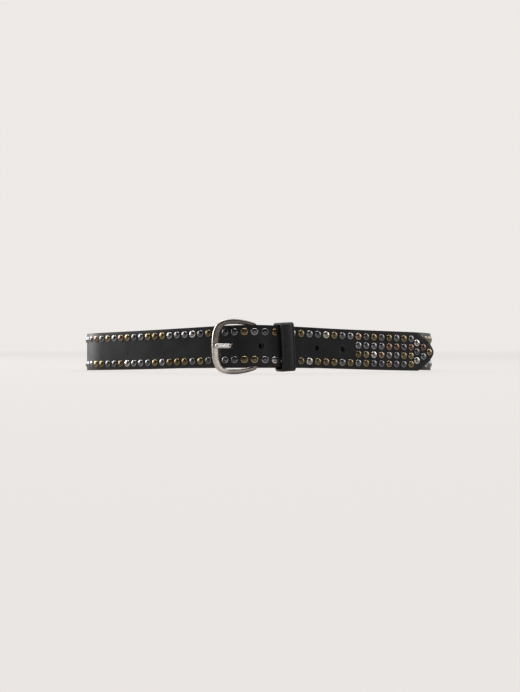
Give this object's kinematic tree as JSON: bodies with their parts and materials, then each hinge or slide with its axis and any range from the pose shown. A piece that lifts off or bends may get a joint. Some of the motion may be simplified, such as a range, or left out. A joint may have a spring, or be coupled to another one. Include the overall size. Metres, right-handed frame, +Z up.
{
  "type": "studded leather belt",
  "caption": "Black leather belt buckled into a closed loop and standing on its edge, with small domed metal studs, a brushed metal frame buckle with a prong and a leather keeper.",
  "frame": {"origin": "on the floor under the middle of the standing belt's outline", "axes": "+X across the loop's width, towards the tip end; -Y out of the front, where the buckle is; +Z up, across the strap's width"},
  "size_m": [0.3374, 0.2092, 0.047],
  "materials": {
    "strap_leather": "smooth semi-gloss",
    "keeper_leather": "smooth matt",
    "frame_nickel": "brushed antique nickel",
    "prong_nickel": "polished nickel",
    "post_metal": "plain",
    "stud_gunmetal": "dark gunmetal",
    "stud_brass": "antique brass",
    "stud_copper": "antique copper",
    "stud_silver": "bright silver"
  },
  "bodies": {
    "root": {"strap": "strap_leather", "buckle_frame": "frame_nickel", "prong": "prong_nickel", "keeper": "keeper_leather", "fold_post_near": "post_metal", "fold_post_far": "post_metal"}
  },
  "joints": []
}
